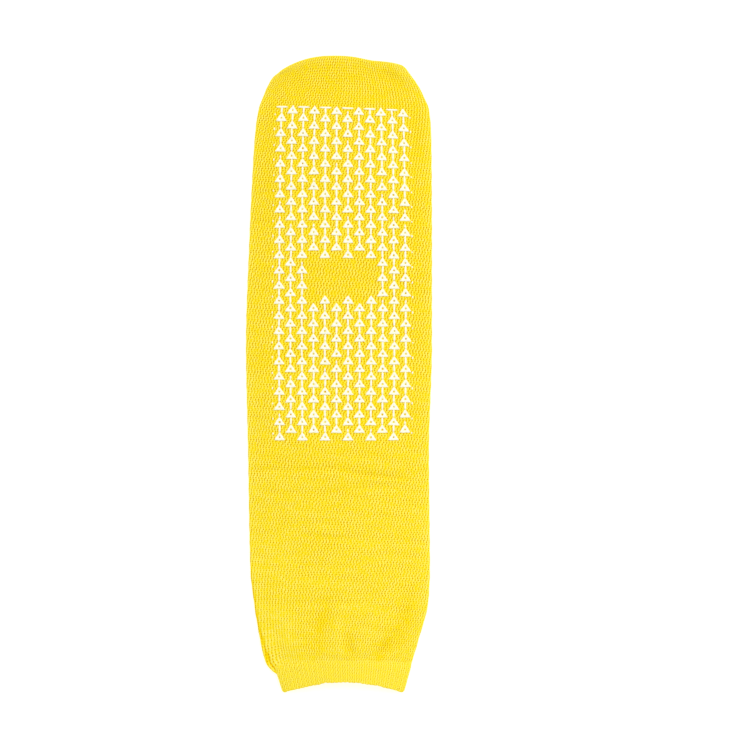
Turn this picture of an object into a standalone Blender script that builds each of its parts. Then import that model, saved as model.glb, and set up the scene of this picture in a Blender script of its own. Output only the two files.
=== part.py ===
"""Slipper sock: a knitted tube sock, slack and laid flat, with its printed grip side up.

Frame: +Y points from the cuff to the toe, +X to the right as the grip side is seen, +Z up.
The origin is under the middle of the sock, on the surface that its plain side lies on.
"""

import bisect
import math
from collections import namedtuple

import bmesh
import bpy
from mathutils import Vector

# Driving dimensions, in metres.
SOCK_LENGTH = 0.355  # toe tip to the corners of the cuff
TUBE_WIDTH = 0.104  # across the flattened tube where it is widest, at the heel
KNIT_WALL = 0.0016  # one ply of jersey with its terry loops
CUFF_WALL = 0.0024  # the turned welt, two plies without loops
SIDE_HOLLOW = 0.0006  # radius left open inside each side fold
LOFT = 0.009  # how far the slack upper ply rises over its side folds
TOE_BOW = 0.0048  # how far the middle of the toe stands in front of its corners
TOE_RISE = 0.0025  # how far the toe's front edge lifts off the floor
MOUTH_BOW = 0.0050  # how far the elastic draws the middle of the mouth in
CUFF_DEPTH = 0.0168  # length of the welt
CUFF_STEP = 0.0003  # the welt stands this proud of the leg
SEAM_THREAD = 0.0014  # thickness of the bead that closes the toe
GAP = 0.0003  # between pieces that touch

GRIP_COLUMNS = 12  # columns of print across the sole
GRIP_ROWS = 22  # triangles down a column
GRIP_COLUMN_PITCH = 0.0064
GRIP_ROW_PITCH = 0.0084
GRIP_TRIANGLE_BASE = 0.0062
GRIP_TRIANGLE_HEIGHT = 0.0045
GRIP_STEM_WIDTH = 0.0006  # the thin stem that links a triangle to the next
GRIP_BAR_DEPTH = 0.0007  # the bar that ends a column at the toe
GRIP_THICKNESS = 0.0006
GRIP_START = 0.0288  # toe tip to the first bar
GRIP_OFFSET = 0.0020  # the print sits this far right of the tube's middle
CLEAR_COLUMNS = 6  # middle columns that stop at the bare window
CLEAR_START = 0.0840  # first bar to the window's toe edge
CLEAR_DEPTH = 0.0180  # length of the window

# Fineness of the facets.
TOP_STEPS = 12
FOLD_STEPS = 4
KNIT_RINGS = 40
CUFF_RINGS = 4
RING_CROWDING = 0.55  # share by which rings lie closer together at the toe and the cuff
TOE_END_ANGLES = (35.0, 72.0)  # degrees round the toe's front edge, outside
HOLLOW_END_ANGLES = (60.0,)  # the same, inside
SEAM_STEPS = 24
SHARP_ANGLE = 50.0  # degrees between faces past which an edge is shaded sharp

# Shapes without a length of their own.
DOME_POWER = 2.4  # 2 is a parabola across the upper ply, more is flatter on top
TOE_BOW_REACH = 0.065  # share of the run over which the toe's bow fades
TOE_RISE_REACH = 0.050
MOUTH_BOW_REACH = 0.10
TOE_SKEW = 0.25  # the toe's peak leans to the left
SEAM_ANGLE = 60.0  # degrees below the toe's front edge at which the bead lies
SEAM_SPAN = 0.94  # share of the toe's width that the bead crosses
GRIP_FOLLOW = 0.55  # how much the columns draw in with the sock's sides, from 0 to 1
GRIP_LEAN = 0.030  # slope across of the first rows, which drop to the right
GRIP_LEAN_REACH = 0.60  # share of the print's length over which the lean fades

KNIT_FOLD = KNIT_WALL + SIDE_HOLLOW  # outer radius of the tube's side folds
CUFF_FOLD = CUFF_WALL + SIDE_HOLLOW
SEAM_Y = SOCK_LENGTH / 2 - TOE_BOW - KNIT_FOLD  # the corners of the toe's closing line
RUN = SEAM_Y + SOCK_LENGTH / 2  # closing line to the corners of the mouth
CUFF_AT = 1.0 - CUFF_DEPTH / RUN  # where the leg ends and the welt begins
GRIP_TOP = SOCK_LENGTH / 2 - GRIP_START

# One row for each section: at is a share of the run from the toe's closing line to the mouth,
# left and right are half widths as shares of the tube's width, loft is a share of LOFT.
Section = namedtuple("Section", "at left right loft")
SECTIONS = [
    Section(0.000, 0.304, 0.352, 0.00),
    Section(0.011, 0.348, 0.387, 0.10),
    Section(0.024, 0.377, 0.417, 0.24),
    Section(0.045, 0.409, 0.454, 0.46),
    Section(0.070, 0.435, 0.486, 0.64),
    Section(0.109, 0.452, 0.492, 0.82),
    Section(0.186, 0.468, 0.492, 0.97),
    Section(0.276, 0.482, 0.495, 1.00),
    Section(0.444, 0.500, 0.500, 0.88),
    Section(0.613, 0.489, 0.484, 0.96),
    Section(0.806, 0.476, 0.489, 0.86),
    Section(0.854, 0.457, 0.481, 0.80),
    Section(0.918, 0.403, 0.427, 0.78),
    Section(0.950, 0.368, 0.395, 0.80),
    Section(1.000, 0.312, 0.349, 0.90),
]

YELLOW_KNIT = ("yellow_knit", (0.93, 0.69, 0.05), 0.85)
YELLOW_WELT = ("yellow_welt", (0.94, 0.71, 0.06), 0.80)
YELLOW_THREAD = ("yellow_thread", (0.88, 0.64, 0.05), 0.80)
CREAM_PRINT = ("cream_print", (0.93, 0.91, 0.72), 0.45)


def column_slopes(name):
    """Slopes at the sections for a curve that never overshoots them (Fritsch and Carlson)."""
    at = [row.at for row in SECTIONS]
    value = [getattr(row, name) for row in SECTIONS]
    secant = [(value[i + 1] - value[i]) / (at[i + 1] - at[i]) for i in range(len(at) - 1)]
    slope = [secant[0]]
    for before, after in zip(secant, secant[1:]):
        slope.append(0.0 if before * after <= 0 else 2 * before * after / (before + after))
    return slope + [secant[-1]]


SLOPES = {name: column_slopes(name) for name in ("left", "right", "loft")}


def section_value(name, at):
    """A column of SECTIONS at any share of the run, on a smooth curve through its rows."""
    i = min(max(bisect.bisect([row.at for row in SECTIONS], at) - 1, 0), len(SECTIONS) - 2)
    first, last = SECTIONS[i], SECTIONS[i + 1]
    span = last.at - first.at
    u = (at - first.at) / span
    a, b = getattr(first, name), getattr(last, name)
    p, q = SLOPES[name][i] * span, SLOPES[name][i + 1] * span
    return a + u * (p + u * (3 * (b - a) - 2 * p - q + u * (2 * (a - b) + p + q)))


def fade(at, reach):
    """1 at the start, falling smoothly to 0 at reach."""
    return max(0.0, 1.0 - at / reach) ** 2


def bow(at, side):
    """How far the point at side, from -1 to 1 across the sock, stands towards the toe."""
    toe = TOE_BOW * fade(at, TOE_BOW_REACH) * (1.0 - TOE_SKEW * side)
    mouth = MOUTH_BOW * fade(1.0 - at, MOUTH_BOW_REACH)
    return (toe + mouth) * (1.0 - side * side)


def core(at, side, fold, proud=0.0):
    """The core line inside the upper ply, which the skins keep a set distance from.

    Gives x, y, z and the slope across. fold is the outer radius of the piece's side folds,
    and proud is how far the piece stands out all round from the knit tube.
    """
    left = section_value("left", at) * TUBE_WIDTH + proud - fold
    right = section_value("right", at) * TUBE_WIDTH + proud - fold
    half = (left + right) / 2
    rise = TOE_RISE * fade(at, TOE_RISE_REACH)
    height = 2 * KNIT_FOLD + LOFT * section_value("loft", at) + proud - 2 * fold
    lift = height * (1.0 - abs(side) ** DOME_POWER)
    slope = -height * DOME_POWER * math.copysign(abs(side) ** (DOME_POWER - 1), side) / half
    x = (right - left) / 2 + side * half
    y = SEAM_Y - at * RUN + bow(at, side)
    return x, y, rise + fold + lift, slope


def ring(at, fold, reach, proud=0.0, end_angle=0.0):
    """Points round the sock at a distance reach from its core, clockwise from the left fold.

    end_angle, in degrees, turns the ring round the toe's closing line to end the tube.
    """
    out = reach * math.cos(math.radians(end_angle))
    ahead = reach * math.sin(math.radians(end_angle))
    floor = core(at, 1.0, fold, proud)[2]
    points = []
    for i in range(TOP_STEPS + 1):
        x, y, z, slope = core(at, 2 * i / TOP_STEPS - 1, fold, proud)
        length = math.hypot(1.0, slope)
        points.append(Vector((x - out * slope / length, y + ahead, z + out / length)))
    for side in (1.0, -1.0):
        x, y, z, slope = core(at, side, fold, proud)
        start, end = math.atan2(1.0, abs(slope)), -math.pi / 2
        turn = [start + (end - start) * i / FOLD_STEPS for i in range(1, FOLD_STEPS)]
        for angle in turn if side > 0 else reversed(turn):
            across = side * out * math.cos(angle)
            points.append(Vector((x + across, y + ahead, z + out * math.sin(angle))))
        if side > 0:
            for i in range(TOP_STEPS, -1, -1):
                x, y, _, _ = core(at, 2 * i / TOP_STEPS - 1, fold, proud)
                points.append(Vector((x, y + ahead, floor - out)))
    return points


def crowded(share):
    """A share of the way from toe to cuff, moved towards the nearer of the two."""
    return share - RING_CROWDING * math.sin(2 * math.pi * share) / (2 * math.pi)


def bridge(mesh, first, second, inside=False):
    """Quads between two rings. inside turns the faces towards the hollow."""
    for i in range(len(first)):
        j = (i + 1) % len(first)
        corners = (first[i], second[i], second[j], first[j])
        mesh.faces.new(reversed(corners) if inside else corners)


def close_toe(mesh, last, inside=False):
    """Joins the top of the last ring to its underside: quads across, one fan at each fold."""
    folds = FOLD_STEPS - 1
    below = 2 * TOP_STEPS + 1 + folds
    for i in range(TOP_STEPS):
        corners = (last[i], last[i + 1], last[below - i - 1], last[below - i])
        mesh.faces.new(reversed(corners) if inside else corners)
    right = last[TOP_STEPS : TOP_STEPS + folds + 2]
    left = last[below:] + last[:1]
    for fan in (right, left):
        mesh.faces.new(reversed(fan) if inside else fan)


def material(kind):
    name, colour, roughness = kind
    made = bpy.data.materials.get(name) or bpy.data.materials.new(name)
    made.use_nodes = True
    shader = made.node_tree.nodes["Principled BSDF"]
    shader.inputs["Base Color"].default_value = (*colour, 1.0)
    shader.inputs["Roughness"].default_value = roughness
    shader.inputs["Metallic"].default_value = 0.0
    return made


def add_object(name, data, kind, collection):
    made = bpy.data.objects.new(name, data)
    data.materials.append(material(kind))
    collection.objects.link(made)
    return made


def finish_mesh(name, mesh, kind, collection, smooth=True):
    data = bpy.data.meshes.new(name)
    mesh.normal_update()
    mesh.to_mesh(data)
    mesh.free()
    if smooth:
        data.shade_smooth()
        data.set_sharp_from_angle(angle=math.radians(SHARP_ANGLE))
    return add_object(name, data, kind, collection)


def build_knit_tube(collection):
    """Foot and leg, knitted in one: a loft through the sections, pinched shut at the toe."""
    mesh = bmesh.new()
    shares = [CUFF_AT * crowded(i / KNIT_RINGS) for i in range(KNIT_RINGS + 1)]
    rims = []
    skins = ((KNIT_FOLD, TOE_END_ANGLES, False), (SIDE_HOLLOW, HOLLOW_END_ANGLES, True))
    for reach, end_angles, inside in skins:
        loops = [ring(0.0, KNIT_FOLD, reach, end_angle=a) for a in reversed(end_angles)]
        loops += [ring(at, KNIT_FOLD, reach) for at in shares]
        rings = [[mesh.verts.new(point) for point in loop] for loop in loops]
        close_toe(mesh, rings[0], inside)
        for first, second in zip(rings, rings[1:]):
            bridge(mesh, first, second, inside)
        rims.append(rings[-1])
    bridge(mesh, *rims)
    return finish_mesh("knit_tube", mesh, YELLOW_KNIT, collection)


def build_cuff_welt(collection):
    """The turned welt at the mouth, a thicker ring in line with the leg."""
    mesh = bmesh.new()
    start = CUFF_AT + GAP / RUN
    shares = [start + (1.0 - start) * i / CUFF_RINGS for i in range(CUFF_RINGS + 1)]
    skins = []
    for reach in (CUFF_FOLD, SIDE_HOLLOW):
        loops = [ring(at, CUFF_FOLD, reach, CUFF_STEP) for at in shares]
        skins.append([[mesh.verts.new(point) for point in loop] for loop in loops])
    outer, inner = skins
    for first, second in zip(outer, outer[1:]):
        bridge(mesh, first, second)
    for first, second in zip(inner, inner[1:]):
        bridge(mesh, first, second, inside=True)
    bridge(mesh, inner[0], outer[0])
    bridge(mesh, outer[-1], inner[-1])
    return finish_mesh("cuff_welt", mesh, YELLOW_WELT, collection)


def build_toe_seam(collection):
    """The linked seam that closes the toe, a bead just under its front edge."""
    reach = KNIT_FOLD + GAP + SEAM_THREAD / 2
    ahead = reach * math.cos(math.radians(SEAM_ANGLE))
    below = reach * math.sin(math.radians(SEAM_ANGLE))
    data = bpy.data.curves.new("toe_seam", "CURVE")
    data.dimensions = "3D"
    data.bevel_depth = SEAM_THREAD / 2
    data.bevel_resolution = 1
    data.use_fill_caps = True
    line = data.splines.new("POLY")
    line.points.add(SEAM_STEPS)
    for i, point in enumerate(line.points):
        side = SEAM_SPAN * (2 * i / SEAM_STEPS - 1)
        x, y, z, _ = core(0.0, side, KNIT_FOLD)
        point.co = (x, y + ahead, z - below, 1.0)
    return add_object("toe_seam", data, YELLOW_THREAD, collection)


def grip_point(mesh, x, y):
    """A point of the print's underside, a gap above the upper ply, drawn askew as the knit is."""
    y -= GRIP_LEAN * x * fade((GRIP_TOP - y) / (GRIP_ROWS * GRIP_ROW_PITCH), GRIP_LEAN_REACH)
    at = (SEAM_Y - y) / RUN
    left = core(at, -1.0, KNIT_FOLD)[0]
    right = core(at, 1.0, KNIT_FOLD)[0]
    narrowing = 1.0 - (right - left) / (TUBE_WIDTH - 2 * KNIT_FOLD)
    x *= 1.0 - GRIP_FOLLOW * narrowing
    side = (2 * x - left - right) / (right - left)
    _, _, z, slope = core(at, side, KNIT_FOLD)
    return mesh.verts.new((x, y, z + (KNIT_FOLD + GAP) * math.hypot(1.0, slope)))


def grip_row(mesh, x, y, half_widths):
    return [grip_point(mesh, x + offset, y) for offset in half_widths]


def build_grip_run(name, x, bases, has_bar, collection):
    """Triangles that point to the toe, linked by stems. bases are the y of their base lines."""
    mesh = bmesh.new()
    half, stem = GRIP_TRIANGLE_BASE / 2, GRIP_STEM_WIDTH / 2
    foot = None
    if has_bar:
        across = (-half, -stem, stem, half)
        top = grip_row(mesh, x, bases[0] + GRIP_ROW_PITCH + GRIP_BAR_DEPTH, across)
        foot = grip_row(mesh, x, bases[0] + GRIP_ROW_PITCH, across)
        for i in range(3):
            mesh.faces.new((foot[i], foot[i + 1], top[i + 1], top[i]))
    for y in bases:
        apex = grip_row(mesh, x, y + GRIP_TRIANGLE_HEIGHT, (-stem, stem))
        if foot:
            mesh.faces.new((apex[0], apex[1], foot[2], foot[1]))
        foot = grip_row(mesh, x, y, (-half, -stem, stem, half))
        mesh.faces.new((foot[0], foot[1], apex[0]))
        mesh.faces.new((foot[1], foot[2], apex[1], apex[0]))
        mesh.faces.new((foot[2], foot[3], apex[1]))
    made = finish_mesh(name, mesh, CREAM_PRINT, collection, smooth=False)
    solidify = made.modifiers.new("print thickness", "SOLIDIFY")
    solidify.thickness = GRIP_THICKNESS
    solidify.offset = 1.0
    return made


def build_grip_print(collection):
    """Columns of print in a half drop, with the middle ones stopping at the bare window."""
    clear_from = GRIP_TOP - CLEAR_START
    clear_to = clear_from - CLEAR_DEPTH
    for column in range(GRIP_COLUMNS):
        x = GRIP_OFFSET + (column - (GRIP_COLUMNS - 1) / 2) * GRIP_COLUMN_PITCH
        has_bar = column % 2 == 0
        first = GRIP_TOP - GRIP_ROW_PITCH * (1.0 if has_bar else 0.5)
        bases = [first - row * GRIP_ROW_PITCH for row in range(GRIP_ROWS)]
        name = f"grip_column_{column + 1:02d}"
        if abs(column - (GRIP_COLUMNS - 1) / 2) > CLEAR_COLUMNS / 2:
            build_grip_run(name, x, bases, has_bar, collection)
            continue
        before = [y for y in bases if y >= clear_from]
        after = [y for y in bases if y + GRIP_TRIANGLE_HEIGHT <= clear_to]
        build_grip_run(name + "_toe", x, before, has_bar, collection)
        build_grip_run(name + "_heel", x, after, False, collection)


def main():
    for old in list(bpy.data.objects):
        bpy.data.objects.remove(old)
    collection = bpy.data.collections.new("slipper_sock")
    bpy.context.scene.collection.children.link(collection)
    build_knit_tube(collection)
    build_cuff_welt(collection)
    build_toe_seam(collection)
    build_grip_print(collection)


main()
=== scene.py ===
# %% [markdown]
# # A knitted slipper sock
# A yellow tube sock with a raised grip print lies slack and flat, grip side up. It is knitted
# in one piece, linked shut at the toe and finished with an elastic welt at the mouth. The
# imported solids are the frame: here we dress them with stitches, print and light, and never
# move them.

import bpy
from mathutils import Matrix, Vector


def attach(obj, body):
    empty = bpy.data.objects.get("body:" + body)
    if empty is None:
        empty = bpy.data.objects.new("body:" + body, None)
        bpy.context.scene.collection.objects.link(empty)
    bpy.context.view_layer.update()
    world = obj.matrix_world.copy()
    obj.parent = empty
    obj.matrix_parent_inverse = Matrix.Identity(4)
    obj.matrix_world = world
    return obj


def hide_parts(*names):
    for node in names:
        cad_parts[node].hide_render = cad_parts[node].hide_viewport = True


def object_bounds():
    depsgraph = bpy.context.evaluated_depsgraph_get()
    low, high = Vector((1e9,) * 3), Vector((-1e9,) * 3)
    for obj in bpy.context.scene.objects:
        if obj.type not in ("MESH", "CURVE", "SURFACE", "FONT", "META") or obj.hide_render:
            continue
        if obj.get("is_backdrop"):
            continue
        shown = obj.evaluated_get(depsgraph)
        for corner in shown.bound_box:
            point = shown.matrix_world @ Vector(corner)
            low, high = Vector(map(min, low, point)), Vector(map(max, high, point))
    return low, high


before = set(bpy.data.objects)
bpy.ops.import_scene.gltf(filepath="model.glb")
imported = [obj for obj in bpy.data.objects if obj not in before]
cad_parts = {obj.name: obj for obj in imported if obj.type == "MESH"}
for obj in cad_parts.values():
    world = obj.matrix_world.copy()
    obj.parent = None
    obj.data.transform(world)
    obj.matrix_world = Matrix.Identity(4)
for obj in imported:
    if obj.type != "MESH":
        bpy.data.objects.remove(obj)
cad_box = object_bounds()
print("nodes in the frame:", len(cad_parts))

# %% Tools
import math
from collections import namedtuple

import bpy
import numpy as np

# %% [markdown]
# ## The form under the stitches
# The stitches have to follow the frame closely. A Shrinkwrap modifier onto the frame's solids
# would do that, but it would copy their facets. So the sections that the frame was lofted
# through come back here as named shares, a few of them up to a millimetre or two fuller or
# narrower, as the slack cloth lies in the photograph. A smooth curve runs through each column
# of the table. That gives the same form at any fineness, and says where each column and row of
# stitches runs.

# %% Sizes of the sock, in metres
SOCK_LENGTH = 0.355  # toe tip to the corners of the mouth
TUBE_WIDTH = 0.104
KNIT_WALL = 0.0016
CUFF_WALL = 0.0024
SIDE_HOLLOW = 0.0006  # radius left open inside each side fold
LOFT = 0.009  # how far the slack upper ply rises
TOE_BOW = 0.0048  # how far the toe's edge bows out in its middle
TOE_RISE = 0.0025
MOUTH_BOW = 0.0066  # how far the mouth's edge bows in
CUFF_DEPTH = 0.0168
CUFF_STEP = 0.0003  # how far the welt stands proud of the leg

DOME_POWER = 2.4  # how square the slack tube's section is
TOE_BOW_REACH = 0.065
TOE_RISE_REACH = 0.050
MOUTH_BOW_REACH = 0.10
TOE_SKEW = 0.25

KNIT_FOLD = KNIT_WALL + SIDE_HOLLOW
CUFF_FOLD = CUFF_WALL + SIDE_HOLLOW
SEAM_Y = SOCK_LENGTH / 2 - TOE_BOW - KNIT_FOLD
RUN = SEAM_Y + SOCK_LENGTH / 2
CUFF_AT = 1.0 - CUFF_DEPTH / RUN
print(f"run from the toe's closing line to the mouth: {RUN * 1000:.1f} mm")

# %% Sections, as shares of the run, of TUBE_WIDTH and of LOFT
Section = namedtuple("Section", "at left right loft")
SECTIONS = [
    Section(0.000, 0.327, 0.360, 0.00),
    Section(0.011, 0.359, 0.386, 0.10),
    Section(0.024, 0.379, 0.417, 0.24),
    Section(0.045, 0.407, 0.455, 0.46),
    Section(0.070, 0.435, 0.486, 0.64),
    Section(0.109, 0.452, 0.496, 0.82),
    Section(0.186, 0.468, 0.499, 0.97),
    Section(0.276, 0.482, 0.500, 1.00),
    Section(0.444, 0.500, 0.500, 0.88),
    Section(0.613, 0.489, 0.484, 0.96),
    Section(0.806, 0.476, 0.489, 0.86),
    Section(0.854, 0.457, 0.481, 0.80),
    Section(0.918, 0.400, 0.427, 0.78),
    Section(0.950, 0.357, 0.395, 0.80),
    Section(1.000, 0.301, 0.348, 0.90),
]
widest = max(row.left + row.right for row in SECTIONS) * TUBE_WIDTH
print(f"sections: {len(SECTIONS)}, the widest {widest * 1000:.0f} mm")


# %% A smooth curve through the sections
def section_curve(name):
    """A smooth curve through one column of SECTIONS that never overshoots its rows."""
    at = np.array([row.at for row in SECTIONS])
    value = np.array([getattr(row, name) for row in SECTIONS])
    secant = np.diff(value) / np.diff(at)
    before, after = secant[:-1], secant[1:]
    turns = before * after <= 0
    middle = np.where(turns, 0.0, 2 * before * after / np.where(turns, 1.0, before + after))
    slope = np.concatenate([secant[:1], middle, secant[-1:]])

    def curve(share):
        i = np.clip(np.searchsorted(at, share, side="right") - 1, 0, len(at) - 2)
        span = at[i + 1] - at[i]
        u = (share - at[i]) / span
        a, b = value[i], value[i + 1]
        p, q = slope[i] * span, slope[i + 1] * span
        return a + u * (p + u * (3 * (b - a) - 2 * p - q + u * (2 * (a - b) + p + q)))

    return curve


left_share, right_share, loft_share = map(section_curve, ("left", "right", "loft"))


# %% The core line of the upper ply
def fade(share, reach):
    """1 at the start, falling smoothly to 0 at reach."""
    return np.maximum(0.0, 1.0 - share / reach) ** 2


# The toe's corners are rounded, the left one more, and the front edge between them lies back
# a little and droops on the right.
LEFT_CORNER, LEFT_WIDTH = 0.0030, 0.75
RIGHT_CORNER, RIGHT_WIDTH = 0.0004, 0.42
CORNER_REACH = 0.055
DROOP = 0.0010
DROOP_AT = 0.50
DROOP_WIDTH = 0.24
LAID_BACK = 0.0004
CORNER_LIES = 0.8  # share of the toe's rise that its corners lose


def corner(side):
    """How far the toe's front edge falls back, above all towards its corners."""
    left = LEFT_CORNER * np.maximum(0.0, 1 - (1 + side) / LEFT_WIDTH) ** 2
    right = RIGHT_CORNER * np.maximum(0.0, 1 - (1 - side) / RIGHT_WIDTH) ** 2
    droop = DROOP * np.exp(-(((side - DROOP_AT) / DROOP_WIDTH) ** 2))
    return left + right + droop + LAID_BACK * (1 - side * side)


def toe_lift(at, side):
    """How far the toe's edge is lifted off the ground; its corners lie lower."""
    return TOE_RISE * fade(at, TOE_RISE_REACH) * (1.0 - CORNER_LIES * np.abs(side) ** 3)


def core(at, side, fold, proud=0.0):
    """x, y, z and the slope across, for side from -1 to 1 across the sock."""
    left = left_share(at) * TUBE_WIDTH + proud - fold
    right = right_share(at) * TUBE_WIDTH + proud - fold
    half = (left + right) / 2
    height = 2 * KNIT_FOLD + LOFT * loft_share(at) + proud - 2 * fold
    lift = height * (1.0 - np.abs(side) ** DOME_POWER)
    slope = -height * DOME_POWER * np.sign(side) * np.abs(side) ** (DOME_POWER - 1) / half
    toe = TOE_BOW * fade(at, TOE_BOW_REACH) * (1.0 - TOE_SKEW * side)
    mouth = MOUTH_BOW * fade(1.0 - at, MOUTH_BOW_REACH)
    x = (right - left) / 2 + side * half
    y = SEAM_Y - at * RUN + (toe + mouth) * (1.0 - side * side)
    y = y - corner(side) * fade(at, CORNER_REACH)
    return x, y, toe_lift(at, side) + fold + lift, slope


print(f"the upper ply's core rises to {core(0.276, 0.0, KNIT_FOLD)[2] * 1000:.1f} mm")

# %% Lines round the sock
SPAN_POINTS = 121
FOLD_POINTS = 12


def fold_arc(x, y, z, side, reach, angles):
    """An arc of the side fold, seen along the sock."""
    across = x + side * reach * np.cos(angles)
    return np.stack([across, np.full_like(across, y), z + reach * np.sin(angles)], 1)


def grip_line(at, fold, reach, proud=0.0, ahead=0.0):
    """Points over the grip side, from the left fold to the right, at a distance from the core."""
    x, y, z, slope = core(at, np.linspace(-1.0, 1.0, SPAN_POINTS), fold, proud)
    length = np.hypot(1.0, slope)
    over = np.stack([x - reach * slope / length, y + ahead, z + reach / length], 1)
    angles = np.linspace(math.atan2(1.0, abs(slope[-1])), 0.0, FOLD_POINTS)[1:]
    right = fold_arc(x[-1], y[-1] + ahead, z[-1], 1.0, reach, angles)
    left = fold_arc(x[0], y[0] + ahead, z[0], -1.0, reach, angles[::-1])
    return np.concatenate([left, over, right])


def plain_line(at, fold, reach, proud=0.0, ahead=0.0):
    """The same under the plain side, which lies flat."""
    side = np.linspace(-1.0, 1.0, SPAN_POINTS)
    x, y, z, _ = core(at, side, fold, proud)
    under = np.stack([x, y + ahead, toe_lift(at, side) + fold - reach], 1)
    angles = np.linspace(-math.pi / 2, 0.0, FOLD_POINTS)[1:]
    right = fold_arc(x[-1], y[-1] + ahead, z[-1], 1.0, reach, angles)
    left = fold_arc(x[0], y[0] + ahead, z[0], -1.0, reach, angles[::-1])
    return np.concatenate([left, under, right])


def spaced(line, count, shift=0.0):
    """The line with count + 1 points, evenly spaced along it, apart from a small shift."""
    step = np.linalg.norm(np.diff(line, axis=0), axis=1)
    along = np.concatenate([[0.0], np.cumsum(step)])
    wanted = (np.linspace(0.0, 1.0, count + 1) + shift) * along[-1]
    return np.stack([np.interp(wanted, along, line[:, axis]) for axis in range(3)], 1)


# %% Soft noise
NOISE_CELLS = 97  # the noise repeats after this many humps


def soft_noise(u, v, seed):
    """Smooth noise from -1 to 1, with a hump for about each unit of u and v."""
    table = np.random.default_rng(seed).uniform(-1.0, 1.0, (NOISE_CELLS, NOISE_CELLS))
    iu, iv = np.floor(u).astype(int), np.floor(v).astype(int)
    fu, fv = u - iu, v - iv
    fu, fv = fu * fu * (3 - 2 * fu), fv * fv * (3 - 2 * fv)

    def cell(a, b):
        return table[(iu + a) % NOISE_CELLS, (iv + b) % NOISE_CELLS]

    near = cell(0, 0) * (1 - fu) + cell(1, 0) * fu
    far = cell(0, 1) * (1 - fu) + cell(1, 1) * fu
    return near * (1 - fv) + far * fv


def smooth(value):
    """0 below 0, 1 above 1, with a soft step between."""
    value = np.clip(value, 0.0, 1.0)
    return value * value * (3 - 2 * value)


# %% [markdown]
# ## Slack and creases
# A slack sock is never even. The elastic gathers the leg into soft upright troughs above the
# welt, the ply sags a little across the leg, and the toe dips beside its corner. Each one is
# a row in a short table: where it lies, how it is turned, how long, wide and deep it is.
# Sculpting would do as well, but a table can be read and changed.

# %% Creases, listed one by one
Crease = namedtuple("Crease", "x y turn length width depth")
# x is a share of half the width from the middle, y is a share of the length from the toe, turn
# is in degrees from straight across, and the rest are in metres. A negative depth is a ridge.
CREASES = [
    # gathered by the welt
    Crease(-0.20, 0.903, 66, 0.030, 0.0054, 0.00130),
    Crease(0.12, 0.930, 92, 0.015, 0.0030, 0.00130),
    Crease(0.48, 0.931, 54, 0.019, 0.0032, 0.00190),
    Crease(0.70, 0.884, 73, 0.032, 0.0050, 0.00120),
    Crease(-0.01, 0.914, 88, 0.022, 0.0032, -0.00080),
    Crease(0.33, 0.905, 66, 0.022, 0.0032, -0.00050),
    Crease(-0.55, 0.912, 95, 0.022, 0.0034, -0.00060),
    Crease(-0.20, 0.857, -3, 0.050, 0.0026, 0.00030),
    # across the slack leg
    Crease(-0.78, 0.651, -5, 0.022, 0.0013, 0.00060),
    Crease(-0.26, 0.649, -2, 0.034, 0.0016, 0.00070),
    Crease(0.40, 0.659, -11, 0.038, 0.0015, 0.00090),
    Crease(0.44, 0.666, -9, 0.034, 0.0014, -0.00060),
    Crease(0.00, 0.681, -1, 0.075, 0.0020, 0.00040),
    Crease(-0.08, 0.756, -9, 0.028, 0.0020, 0.00060),
    Crease(-0.60, 0.724, 80, 0.030, 0.0030, 0.00035),
    Crease(0.30, 0.560, -10, 0.070, 0.0060, 0.00050),
    # across the foot
    Crease(-0.45, 0.214, 0, 0.046, 0.0017, 0.00065),
    Crease(-0.86, 0.262, -5, 0.014, 0.0014, 0.00045),
    Crease(-0.50, 0.470, 3, 0.050, 0.0046, 0.00050),
    Crease(0.85, 0.133, 88, 0.022, 0.0026, 0.00060),
    # behind the toe's edge
    Crease(-0.42, 0.033, 35, 0.020, 0.0044, 0.00035),
    Crease(0.04, 0.018, -2, 0.060, 0.0028, 0.00030),
    Crease(0.57, 0.034, -48, 0.014, 0.0030, 0.00080),
    Crease(0.69, 0.030, -58, 0.014, 0.0026, -0.00060),
]
CREASE_BEND = 0.03  # how far a crease bends off a straight line, as a share of its length
SAG = 0.00035  # slow unevenness of the slack ply
SAG_WIDE, SAG_LONG = 0.021, 0.034  # size of one sag across and along the sock
FOLD_FADE = 0.0035  # creases die out this near to a side fold
WELT_FADE = 0.0060  # and this near to the welt
TOE_FADE = 0.0060  # and to the toe's edge


def crease_depth(x, y):
    """How far the creases lower the grip side."""
    depth = np.zeros_like(x)
    for crease in CREASES:
        turn = math.radians(crease.turn)
        dx = x - crease.x * TUBE_WIDTH / 2
        dy = y - (SOCK_LENGTH / 2 - crease.y * SOCK_LENGTH)
        along = dx * math.cos(turn) + dy * math.sin(turn)
        across = dy * math.cos(turn) - dx * math.sin(turn)
        bow = np.sin(along * math.pi / crease.length)
        bend = across - CREASE_BEND * crease.length * bow
        long_fade = np.exp(-((2 * along / crease.length) ** 2))
        depth = depth + crease.depth * long_fade * np.exp(-((bend / crease.width) ** 2))
    return depth


def settled(at, x, y):
    """How far the slack grip side lies above its even form."""
    left = x + left_share(at) * TUBE_WIDTH
    right = right_share(at) * TUBE_WIDTH - x
    room = smooth(np.minimum(left, right) / FOLD_FADE)
    room = room * smooth((CUFF_AT - at) * RUN / WELT_FADE) * smooth(at * RUN / TOE_FADE)
    sag = SAG * (soft_noise(x / SAG_WIDE + 9.0, y / SAG_LONG + 9.0, seed=5) + 0.5)
    return room * (sag - crease_depth(x, y))
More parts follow.
